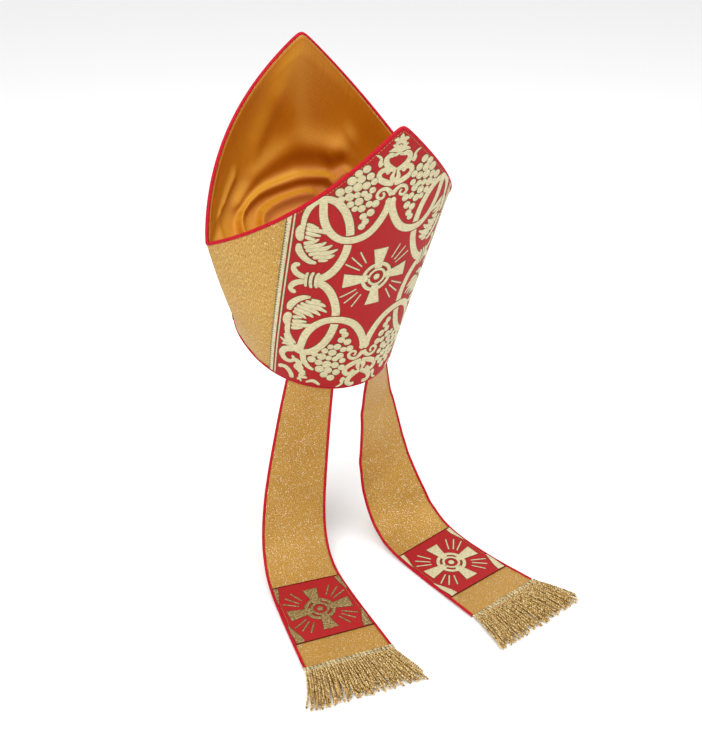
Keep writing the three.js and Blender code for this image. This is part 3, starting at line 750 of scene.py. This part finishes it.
def cord_group() -> bpy.types.NodeTree:
    """Turns polylines into twisted cords of two strands.

    Returns: a group with Geometry, Strand radius, Spread, Step, Twist, Sides and Material in, a mesh out.
    """
    sockets = {"Geometry": None, "Strand radius": 0.0008, "Spread": 0.0006, "Step": 0.001, "Twist": 1400.0,
               "Sides": 5, "Material": None}
    t, enter, leave = new_group("Twisted cords", "GeometryNodeTree", sockets, ("Geometry",))
    given = enter.outputs
    curve = t.add("GeometryNodeMeshToCurve", {0: given["Geometry"]})
    even = t.add("GeometryNodeResampleCurve", {"Curve": curve.outputs[0], "Length": given["Step"]}, mode="LENGTH")
    angle = t.math("MULTIPLY", t.add("GeometryNodeSplineParameter").outputs["Length"], given["Twist"])
    tilted = t.add("GeometryNodeSetCurveTilt", {0: even.outputs[0], "Tilt": angle})
    ring = t.add("GeometryNodeCurvePrimitiveCircle", {"Resolution": given["Sides"], "Radius": given["Strand radius"]})
    join = t.add("GeometryNodeJoinGeometry")
    for sign in (1.0, -1.0):
        shift = t.add("ShaderNodeCombineXYZ", {0: t.math("MULTIPLY", given["Spread"], sign)})
        moved = t.add("GeometryNodeTransform", {0: ring.outputs[0], "Translation": shift.outputs[0]})
        t.tree.links.new(moved.outputs[0], join.inputs[0])
    solid = t.add("GeometryNodeCurveToMesh",
                  {"Curve": tilted.outputs[0], "Profile Curve": join.outputs[0], "Fill Caps": True})
    return painted(t, enter, leave, solid.outputs[0])


def bead_group() -> bpy.types.NodeTree:
    """Sets an elongated bead on each point, turned by its facing and heading attributes.

    Returns: a group with Geometry, Size and Material in, a mesh out.
    """
    t, enter, leave = new_group("Beads on points", "GeometryNodeTree",
                                {"Geometry": None, "Size": None, "Material": None}, ("Geometry",))
    turn = None
    for name, axis, pivot in (("facing", "Z", "AUTO"), ("heading", "X", "Z")):
        vector = t.add("GeometryNodeInputNamedAttribute", {"Name": name}, data_type="FLOAT_VECTOR")
        align = t.add("FunctionNodeAlignRotationToVector", {"Vector": vector.outputs[0]}, axis=axis, pivot_axis=pivot)
        if turn is not None:
            t.tree.links.new(turn, align.inputs["Rotation"])
        turn = align.outputs[0]
    ball = t.add("GeometryNodeMeshUVSphere", {"Segments": 8, "Rings": 5, "Radius": 1.0})
    placed = {"Points": enter.outputs[0], "Instance": ball.outputs[0], "Rotation": turn,
              "Scale": enter.outputs["Size"]}
    return painted(t, enter, leave, t.add("GeometryNodeInstanceOnPoints", placed).outputs[0])


def made_with(
    group: bpy.types.NodeTree, name: str, points: np.ndarray, edges: list, values: dict, vectors: dict | None = None
) -> bpy.types.Object:
    """Runs a node group on points or polylines and keeps the plain mesh.

    Args: values by input name; vectors by attribute name.
    Returns: the object.
    """
    mesh = bpy.data.meshes.new(name)
    mesh.from_pydata(points.tolist(), edges, [])
    for key, rows in (vectors or {}).items():
        field = mesh.attributes.new(key, "FLOAT_VECTOR", "POINT")
        field.data.foreach_set("vector", rows.astype(np.float32).ravel())
    made = linked(name, mesh)
    modifier = made.modifiers.new("Made", "NODES")
    modifier.node_group = group
    for item in group.interface.items_tree:
        if item.item_type == "SOCKET" and item.in_out == "INPUT" and item.name in values:
            modifier[item.identifier] = values[item.name]
    plain = bpy.data.meshes.new_from_object(made.evaluated_get(bpy.context.evaluated_depsgraph_get()))
    made.modifiers.clear()
    made.data = plain
    plain.materials.clear()
    plain.materials.append(values["Material"])
    spots = np.zeros(len(plain.vertices) * 3, np.float32)
    plain.vertices.foreach_get("co", spots)
    x, y, z = spots.reshape(-1, 3).T  # a rough flat place, for the grain of the thread
    lay_flat(plain, np.stack([x + y, z + y], -1))
    return made


# ---------------------------------------------------------------- the parts

Pieces = dict[str, bpy.types.Object]


def declare(node: str | None = None) -> None:
    """Hides the model's node that a piece stands for, where one is given."""
    if node:
        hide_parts(node)


def chain(first: int, count: int) -> list[tuple[int, int]]:
    """Returns: the edges that join `count` vertices in a row."""
    return [(i, i + 1) for i in range(first, first + count - 1)]


@dataclass(frozen=True)
class Spin:
    """How a cord is made: strand radius, spread and step in metres, twist in radians a metre, sides."""

    radius: float
    spread: float = 0.0
    step: float = 0.0022
    twist: float = 0.0
    sides: int = 12


@dataclass(frozen=True)
class Workshop:
    """What every part is made with. The pitch of the stitches is in metres."""

    form: MitreForm
    looks: dict[str, bpy.types.Material]
    cords: bpy.types.NodeTree
    beads: bpy.types.NodeTree
    pitch: float = 3.4 * MM

    def cord(self, name: str, points: np.ndarray, edges: list, spin: Spin, look: str) -> bpy.types.Object:
        """Returns: cords along polylines."""
        values = {"Strand radius": spin.radius, "Spread": spin.spread, "Step": spin.step, "Twist": spin.twist,
                  "Sides": spin.sides, "Material": self.looks[look]}
        return made_with(self.cords, name, points, edges, values)

    def tube(self, name: str, path: np.ndarray, radius: float, closed: bool = False, look: str = "cord"):
        """Returns: a smooth corded piping along the path."""
        edges = chain(0, len(path)) + ([(len(path) - 1, 0)] if closed else [])
        return self.cord(name, path, edges, Spin(radius), look)

    def stitches(self, name: str, cloth, line: np.ndarray, out: float, size: tuple[float, ...], look: str = "thread"):
        """Returns: a run of stitches along a flat line, a gap after each. Args: size in millimetres."""
        steps = lengths(line)
        walk = np.arange(0, steps[-1], self.pitch)
        x, y = (np.interp(walk, steps, line[:, k]) for k in (0, 1))
        ahead_x, ahead_y = (np.interp(walk + 0.5 * MM, steps, line[:, k]) for k in (0, 1))
        spots = cloth.at(x, y, out)
        heading = cloth.at(ahead_x, ahead_y, out) - spots
        facing = cloth.at(x, y, out + MM) - spots
        values = {"Size": tuple(part * MM for part in size), "Material": self.looks[look]}
        vectors = {"facing": facing / MM, "heading": heading / np.linalg.norm(heading, axis=1)[:, None]}
        return made_with(self.beads, name, spots, [], values, vectors)


@dataclass
class Horn:
    """One horn: lame wall, brocade orphrey with its figure, edge piping and topstitching. Metres."""

    shop: Workshop
    side: int
    orphrey: float = 0.101
    gap: float = 0.0004
    thick: float = 0.0008
    cord: float = 1.85 * MM
    cord_past: float = 0.3 * MM
    cord_out: float = 0.5 * MM
    seam_end: float = 0.0995
    seam_down: float = 2.8 * MM
    border: float = 0.1003

    def __post_init__(self) -> None:
        self.cloth = HornCloth(self.shop.form, self.side)
        self.name = "back" if self.side > 0 else "front"

    def wall(self, u: np.ndarray, v: np.ndarray, out: float) -> tuple[np.ndarray, np.ndarray]:
        """Returns: points and flats of the wall, for a share of the turn and of the height."""
        form = self.shop.form
        turn = u * np.pi / 2
        z = v * form.edge(turn)
        ripple = 0.35 * MM * np.sin(38 * u + 3 * v) * np.sin(9 * v + 2 * u) * (np.abs(u) < 0.995)
        lift = ripple * (out >= 0) + out
        points = form.point(self.side, turn, z) + form.normal(self.side, turn, z) * lift[:, None]
        points[:, 1] = self.side * np.maximum(points[:, 1] * self.side, 0.05 * MM)
        return form.worn(points), np.stack([turn * 0.11, z], -1)

    def panel(self, u: np.ndarray, v: np.ndarray, out: float) -> tuple[np.ndarray, np.ndarray]:
        """Returns: points and flats of the orphrey."""
        x = u * self.orphrey
        y = 0.4 * MM + v * (self.cloth.top(x) - 0.8 * MM)
        return self.cloth.at(x, y, out), np.stack([x, y], -1)

    def edge_path(self) -> np.ndarray:
        """Returns: the piping's middle, seam to seam over the peak."""
        form, spaced = self.shop.form, np.linspace(-1, 1, 181)
        turns = np.pi / 2 * np.clip(np.sign(spaced) * np.abs(spaced) ** 1.3, -0.998, 0.998)
        z = form.edge(turns)
        normal = form.normal(self.side, turns, z)
        edge = form.point(self.side, turns, z) - normal * (form.wall / 2)
        past = np.cross(np.gradient(edge, axis=0), normal)
        past /= np.linalg.norm(past, axis=1)[:, None] + 1e-9
        past *= np.sign(past[:, 2:3])
        return form.worn(edge + past * self.cord_past + normal * self.cord_out)

    def build(self) -> Pieces:
        """Returns: the wall, panel, figure, piping and stitches."""
        shop, name, out = self.shop, self.name, self.gap + self.thick
        around = np.sin(np.linspace(-np.pi / 2, np.pi / 2, 121))
        made = {
            "wall": closed_sheet(f"{name}_horn_cloth", shop.looks["lame"], self.wall, around,
                                 np.linspace(0, 1, 60), -shop.form.wall, 0.0),
            "panel": closed_sheet(f"{name}_orphrey_cloth", shop.looks["red"], self.panel, np.linspace(-1, 1, 121),
                                  np.linspace(0, 1, 120), self.gap, out),
            "figure": orphrey_figure(self.cloth, out, shop.looks["cream"]),
            "piping": shop.tube(f"{name}_edge_cord", self.edge_path(), self.cord),
        }
        x = np.linspace(-self.seam_end, self.seam_end, 300)
        line = np.stack([x, self.cloth.top(x) - self.seam_down], -1)
        made["topstitch"] = shop.stitches(f"{name}_topstitch", self.cloth, line, out + 0.1 * MM, (1.15, 0.28, 0.25))
        top = float(self.cloth.top(np.array([0.1005]))[0]) - 3 * MM
        for sign in (1, -1):
            run = np.stack([np.full(60, sign * self.border), np.linspace(2 * MM, top, 60)], -1)
            word = f"border_stitch_{sign + 1}"
            made[word] = shop.stitches(f"{name}_{word}", self.cloth, run, out + 0.35 * MM, (0.9, 0.55, 0.25), "grey")
        return made

    def dress(self, made: Pieces) -> None:
        declare(f"{self.name}_horn")
        declare(f"{self.name}_orphrey")
        declare(f"{self.name}_piping")
        declare()
        stitches = [piece for key, piece in made.items() if "stitch" in key]
        for piece in stitches:
            declare()


@dataclass(frozen=True)
class Fold:
    """A soft fold of the lining: a line in (across, climb) shares, a width share and a height in metres."""

    line: tuple[tuple[float, float], ...]
    width: float
    height: float


@dataclass(frozen=True)
class Lining:
    """The satin that spans the two horns, with its folds and the small puckers at its edge. Metres."""

    shop: Workshop
    reach: float = 0.992
    drop: float = 0.0012
    valley: float = 0.128
    rise: float = 0.012
    thick: float = 0.0009
    gap: float = 0.0004

    FOLDS = (
        Fold(((0.66, -0.02), (0.63, -0.20), (0.56, -0.33), (0.36, -0.39), (0.08, -0.38), (-0.24, -0.39)),
             0.040, 7e-3),
        Fold(((0.48, -0.02), (0.44, -0.12), (0.36, -0.23), (0.16, -0.27), (-0.08, -0.27)), 0.034, 5.0e-3),
        Fold(((0.56, -0.46), (0.28, -0.54), (-0.05, -0.57), (-0.38, -0.63)), 0.070, 5.5e-3),
        Fold(((0.30, -0.02), (0.20, -0.12), (0.02, -0.15)), 0.034, 3.0e-3),
        Fold(((0.36, -0.60), (0.30, -0.72), (0.16, -0.84)), 0.075, 4.0e-3),
        Fold(((-0.02, -0.66), (0.02, -0.78), (0.06, -0.88)), 0.090, 3.0e-3),
        Fold(((0.86, -0.10), (0.85, -0.40), (0.80, -0.66)), 0.040, 2.6e-3),
        Fold(((0.72, -0.66), (0.56, -0.70)), 0.045, 3.4e-3),
        Fold(((-0.28, -0.34), (-0.42, -0.46)), 0.045, 6.5e-3),
        Fold(((-0.30, -0.56), (-0.42, -0.74)), 0.060, 3.5e-3),
        Fold(((-0.2, 0.30), (0.3, 0.36), (0.6, 0.30)), 0.070, 3.4e-3),
        Fold(((-0.4, 0.55), (0.2, 0.60)), 0.080, 3.0e-3),
    )

    def middle(self, u: np.ndarray, v: np.ndarray) -> np.ndarray:
        """Returns: upright points, u across and v the climb, -1 the front horn's edge and 1 the back's."""
        form = self.shop.form
        climb, turn = np.abs(v), u * self.reach * np.pi / 2
        top = form.edge(turn) - self.drop
        bottom = self.valley + self.rise * np.abs(u) ** 3
        z = bottom + (top - bottom) * climb**2
        points = np.zeros((len(u), 3))
        for side in (1, -1):
            mask = (v >= 0) == (side > 0)
            t, h = turn[mask], z[mask]
            inset = form.wall + self.gap + self.thick / 2
            points[mask] = form.point(side, t, h) - form.normal(side, t, h) * inset
        points[:, 1] *= 1 - (1 - climb) ** 3
        return points

    @staticmethod
    def distance(x: np.ndarray, y: np.ndarray, line: np.ndarray) -> np.ndarray:
        """Returns: how far each place is from a polyline."""
        nearest = np.full_like(x, 9.0)
        for (ax, ay), (bx, by) in zip(line[:-1], line[1:]):
            dx, dy = bx - ax, by - ay
            along = np.clip(((x - ax) * dx + (y - ay) * dy) / (dx * dx + dy * dy + 1e-12), 0, 1)
            nearest = np.minimum(nearest, np.hypot(x - ax - along * dx, y - ay - along * dy))
        return nearest

    def relief(self, u: np.ndarray, v: np.ndarray) -> np.ndarray:
        """Returns: how far the folds and puckers stand up, metres."""
        total = np.zeros_like(u)
        for fold in self.FOLDS:
            away = self.distance(u, v * 0.9, smooth_line([(a, 0.9 * b) for a, b in fold.line], 0.08)[:, :2])
            total += fold.height * np.exp(-((away / fold.width) ** 2))
        rim = np.exp(-(1 - np.abs(v)) / 0.03)
        total += 0.7 * MM * rim * np.sin(130 * u + 4 * np.sin(23 * u)) ** 2
        total += 0.8 * MM * np.sin(5 * u + 7 * v) * np.sin(8 * v - 3 * u)
        hold = np.clip((1 - np.abs(u)) / 0.06, 0, 1) * np.clip((1 - np.abs(v)) / 0.05, 0.25, 1)
        return total * hold

    def shade(self, u: np.ndarray, v: np.ndarray) -> np.ndarray:
        """Returns: painted sheen and shade for the satin, 1 (painted highlight) on slopes that look up and 0 (painted
        shade) on those that look down.
        """
        slope = (self.relief(u, v + 0.004) - self.relief(u, v - 0.004)) / 0.008
        side = (self.relief(u + 0.004, v) - self.relief(u - 0.004, v)) / 0.008
        # painted shading across the whole satin: a broad wobble, lighter at +u and darker at -u
        painted_gradient = 0.10 * np.sin(3.1 * u + 2.2) * np.sin(4.3 * v) + 0.13 * u
        return np.clip(0.5 + 3.0 * slope * np.where(v < 0, 1, -1) + 1.6 * side + painted_gradient, 0, 1)

    def surface(self, u: np.ndarray, v: np.ndarray, out: float) -> tuple[np.ndarray, np.ndarray]:
        """Returns: worn points and flats."""
        step = 0.004
        across = self.middle(np.clip(u + step, -1, 1), v) - self.middle(np.clip(u - step, -1, 1), v)
        along = self.middle(u, np.clip(v + step, -1, 1)) - self.middle(u, np.clip(v - step, -1, 1))
        up = np.cross(across, along)
        up /= np.linalg.norm(up, axis=1)[:, None] + 1e-12
        points = self.middle(u, v) + up * (out + self.relief(u, v))[:, None]
        return self.shop.form.worn(points), np.stack([0.14 * u, 0.18 * v], -1)

    def build(self) -> Pieces:
        """Returns: the satin."""
        return {"satin": closed_sheet("crown_satin", self.shop.looks["satin"], self.surface, np.linspace(-1, 1, 201),
                                      np.linspace(-1, 1, 241), -self.thick / 2, self.thick / 2, self.shade)}

    def dress(self, made: Pieces) -> None:
        declare("crown_lining")


@dataclass
class Lappet:
    """A hanging band with its panel, pipings, braid and bullion fringe. Metres."""

    shop: Workshop
    route: LappetRoute
    seed: int
    panel: tuple[float, float] = (0.260, 0.351)
    tuck: float = 0.013
    past: float = 0.0015
    thick: float = 0.0018
    fringe_length: float = 0.058
    spread: float = 0.017
    floor: float = -0.250
    layers: int = 3
    cords: int = 36
    bullion: Spin = Spin(0.00075, 0.00062, 0.0011, 1250.0, 5)
    loops: Spin = Spin(0.0007, 0.0005, 0.0012, 2200.0, 5)

    CARRIED = ("panel", "figure", "hem_upper", "hem_lower", "stitch_out", "stitch_in", "cord_out", "cord_in",
               "fringe", "braid")

    def __post_init__(self) -> None:
        self.hand = "left" if self.route.sign > 0 else "right"
        self.name = f"lappet_{self.hand}"
        self.cloth = LappetCloth(self.shop.form, self.route, self.seed)

    def strip(self, start: float, end: float) -> Callable:
        """Returns: a surface function over that stretch."""

        def surface(u: np.ndarray, v: np.ndarray, out: float) -> tuple[np.ndarray, np.ndarray]:
            s = start + v * (end - start)
            x = u * self.cloth.half(s)
            return self.cloth.at(x, s, out), np.stack([x, s], -1)

        return surface

    def panel_figure(self, base: float, look: str) -> bpy.types.Object:
        """Returns: the cross, its rays and the four corner bands."""
        draft = MeshDraft()
        figure = Figure(self.cloth, base, draft)
        middle = sum(self.panel) / 2 / MM
        cross_figure(figure, 0, middle + 0.5, 0.98)
        half = self.cloth.half(middle * MM) / MM
        for mirror in (1, -1):
            for up in (1, -1):
                piece = tuple((half + x, middle + up * y) for x, y in ((1.5, 15), (-1, 26), (-3.2, 36), (-4.2, 45)))
                figure.stroke(Stroke(piece, (3, 5.5, 8, 9), 1, True), mirror)
        return draft.build(f"{self.name}_figure", self.shop.looks[look])

    def end(self) -> tuple[np.ndarray, np.ndarray, np.ndarray, np.ndarray]:
        """Returns: the middle of the band's end, and its across, along and outward directions."""
        return (self.cloth.middles[-1], *(d[0] for d in self.cloth.directions(np.array([self.cloth.LENGTH]))))

    def fringe(self) -> bpy.types.Object:
        """Returns: layers of twisted cords, spread over the surface that they lie on."""
        rng = np.random.default_rng(SEED + self.seed)
        end, across, along, _ = self.end()
        along = np.array([along[0], along[1], 0]) / np.hypot(*along[:2])
        half = self.cloth.half(self.cloth.LENGTH)
        points, edges = [], []
        for layer in range(self.layers):
            for k in range(self.cords):
                share = (2 * (k + 0.5 * (layer % 2)) / (self.cords - 1) - 1) * 0.985
                length = self.fringe_length * rng.uniform(0.93, 1.0) - 0.004 * layer
                lean = rng.normal(0, 0.0015)
                wave, phase = rng.uniform(0.0004, 0.0013), rng.uniform(0, 6.28)
                edges += chain(len(points), 15)
                for s in np.linspace(0.0015, length, 15):
                    t = s / self.fringe_length
                    side = share * (half + self.spread * t**1.25) + lean * t**1.5
                    side += wave * math.sin(phase + 7 * t) * t
                    above = (1 - min(1, t / 0.35)) ** 2
                    rest = self.floor + 0.0016 + 0.0021 * layer * (1 - 0.35 * t)
                    height = (end[2] + 0.0012) * above + rest * (1 - above)
                    if t > 0.1:
                        height += 0.0012 * math.sin(math.pi * min(1, t)) * (layer > 0)
                    spot = end + along * s + across * side
                    points.append((spot[0], spot[1], max(height, self.floor + 0.0014)))
        return self.shop.cord(f"{self.name}_bullion", np.array(points), edges, self.bullion, "fringe")

    def braid(self) -> bpy.types.Object:
        """Returns: the woven head of the fringe: rows of small twisted loops."""
        end, across, along, up = self.end()
        half = self.cloth.half(self.cloth.LENGTH) + 0.0024
        points, edges = [], []
        for row in range(4):
            edges += chain(len(points), 160)
            for x in np.linspace(-half, half, 160):
                s = 0.0002 + 0.0017 * row + 0.0008 * math.sin(x * 1500 + row * math.pi)
                lift = 0.0024 + 0.0004 * math.cos(x * 1500)
                points.append(end + across * x + along * s + up * lift)
        return self.shop.cord(f"{self.name}_woven_head", np.array(points), edges, self.loops, "braid")

    def build(self) -> Pieces:
        """Returns: the lappet's pieces."""
        shop, cloth, name = self.shop, self.cloth, self.name
        across, out = np.linspace(-1, 1, 41), self.thick / 2
        made = {
            "band": closed_sheet(f"{name}_cloth", shop.looks["lappet"],
                                 self.strip(-self.tuck, cloth.LENGTH + self.past), across,
                                 np.linspace(0, 1, 260), -out, out),
            "panel": closed_sheet(f"{name}_brocade", shop.looks["red"], self.strip(*self.panel), across,
                                  np.linspace(0, 1, 60), 0.0010, 0.0016),
            "figure": self.panel_figure(0.0016, "bronze" if self.hand == "left" else "cream"),
        }
        for word, s in zip(("upper", "lower"), self.panel):
            x = np.linspace(-1, 1, 40) * (cloth.half(s) - 0.4 * MM)
            path = cloth.at(x, np.full(40, s), 0.0014)
            made[f"hem_{word}"] = shop.tube(f"{name}_hem_{word}", path, 0.6 * MM, look="hem")
        s = np.linspace(-0.012, cloth.LENGTH - 0.0035, 200)
        for word, sign in (("out", self.route.sign), ("in", -self.route.sign)):
            path = cloth.at(sign * (cloth.half(s) + 0.0010), s, 0.0003)
            made[f"cord_{word}"] = shop.tube(f"{name}_cord_{word}", path, 1.6 * MM)
            run = np.stack([sign * (cloth.half(s) - 2.2 * MM), s], -1)[16:-4]
            run = run[(run[:, 1] > self.panel[0]) & (run[:, 1] < self.panel[1])]
            made[f"stitch_{word}"] = shop.stitches(f"{name}_stitch_{word}", cloth, run, 0.0018, (1.1, 0.28, 0.22))
        return {**made, "fringe": self.fringe(), "braid": self.braid()}

    def dress(self, made: Pieces) -> None:
        for key, slot, node in (("band", Slot.LAME, ""), ("panel", Slot.BROCADE, "_panel"),
                                ("fringe", Slot.FRINGE, "_fringe"), ("braid", Slot.BRAID, "_braid"),
                                ("cord_out", Slot.PIPING, "_piping_out"), ("cord_in", Slot.PIPING, "_piping_in")):
            declare(self.name + node)
        for key in ("figure", "hem_upper", "hem_lower"):
            declare()
        for key in ("stitch_out", "stitch_in"):
            declare()


@dataclass(frozen=True)
class Rim:
    """The corded edge of the head opening. Metres."""

    shop: Workshop
    radius: float = 1.75 * MM
    below: float = 1.5 * MM

    def build(self) -> Pieces:
        """Returns: the rim's piping."""
        form = self.shop.form
        turns = np.linspace(-np.pi / 2, np.pi / 2, 101)[:-1]
        rings = []
        for side in (1, -1):
            t = turns * side
            points = form.point(side, t, 0 * t) - form.normal(side, t, 0 * t) * form.wall / 2
            points[:, 2] = -self.below
            rings.append(points)
        return {"piping": self.shop.tube("rim_cord", form.worn(np.concatenate(rings)), self.radius, closed=True)}

    def dress(self, made: Pieces) -> None:
        declare("rim_piping")


# ---------------------------------------------------------------- the studio


@dataclass(frozen=True)
class Lamp:
    """A square soft light: place, aim and size in metres, power in watts."""

    name: str
    place: tuple[float, float, float]
    aim: tuple[float, float, float]
    size: float
    watts: float

    def build(self) -> None:
        """Adds the light."""
        data = bpy.data.lights.new(self.name, "AREA")
        data.size, data.energy = self.size, self.watts
        turn = (Vector(self.aim) - Vector(self.place)).to_track_quat("-Z", "Y")
        linked(self.name, data).matrix_world = Matrix.Translation(self.place) @ turn.to_matrix().to_4x4()


@dataclass(frozen=True)
class Studio:
    """Pale floor, soft lights and the camera. Metres and degrees."""

    level: float = -0.2515
    reach: float = 6.0
    grey: float = 0.94
    sky: float = 0.85
    eye: tuple[float, float, float] = (0.6064, 1.0687, 0.6045)
    forward: tuple[float, float, float] = (-0.4622, -0.7485, -0.4756)
    roll: float = 0.65
    lens: float = 57.63
    lamps: tuple[Lamp, ...] = (
        Lamp("key", (1.3, 1.2, 1.7), (0, 0, 0.05), 1.1, 26.0),
        Lamp("fill", (-1.5, 1.4, 1.0), (0, 0.1, 0.0), 1.4, 9.0),
        Lamp("top", (0.0, 0.2, 2.1), (0, 0.1, 0), 1.2, 22.0),
    )

    def floor(self) -> None:
        """Lays the floor."""
        mesh, r = bpy.data.meshes.new("floor"), self.reach
        corners = [(x, y, self.level) for x, y in ((-r, -r), (r, -r), (r, r), (-r, r))]
        mesh.from_pydata(corners, [], [(0, 1, 2, 3)])
        material = bpy.data.materials.new("Pale floor")
        material.use_nodes = True
        shader = material.node_tree.nodes["Principled BSDF"]
        shader.inputs["Base Color"].default_value = (self.grey, self.grey, self.grey, 1)
        shader.inputs["Roughness"].default_value = 0.9
        mesh.materials.append(material)
        linked("floor", mesh)

    def camera(self) -> None:
        """Sets the scene's camera."""
        data = bpy.data.cameras.new("camera")
        data.lens, data.sensor_width, data.clip_start = self.lens, 36.0, 0.01
        forward = Vector(self.forward).normalized()
        right = forward.cross(Vector((0, 0, 1))).normalized()
        up = right.cross(forward)
        roll = math.radians(self.roll)
        right, up = right * math.cos(roll) + up * math.sin(roll), up * math.cos(roll) - right * math.sin(roll)
        basis = Matrix((right, up, -forward)).transposed()
        made = linked("camera", data)
        made.matrix_world = Matrix.Translation(self.eye) @ basis.to_4x4()
        bpy.context.scene.camera = made

    def build(self) -> None:
        """Makes the whole setting."""
        scene = bpy.context.scene
        self.floor()
        scene.world = bpy.data.worlds.new("studio")
        scene.world.use_nodes = True
        sky = scene.world.node_tree.nodes["Background"].inputs
        sky[0].default_value = (1, 1, 1, 1)
        sky[1].default_value = self.sky
        for lamp in self.lamps:
            lamp.build()
        scene.view_settings.view_transform = "Standard"
        self.camera()


def main() -> None:
    """Builds every part in order."""
    logging.basicConfig(level=logging.INFO)
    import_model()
    threads = thread_group()
    looks = {key: finish.material(threads) for key, finish in FINISHES.items()}
    shop = Workshop(MitreForm(), looks, cord_group(), bead_group())
    pieces = []
    for part in (Horn(shop, 1), Horn(shop, -1), Rim(shop), Lining(shop), Lappet(shop, LEFT, 3),
                 Lappet(shop, RIGHT, 5)):
        made = part.build()
        part.dress(made)
        LOG.info("%s: %d pieces", type(part).__name__, len(made))
        pieces += made.values()
    for piece in pieces:
        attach(piece, "root")
    Studio().build()


if __name__ == "__main__":
    main()
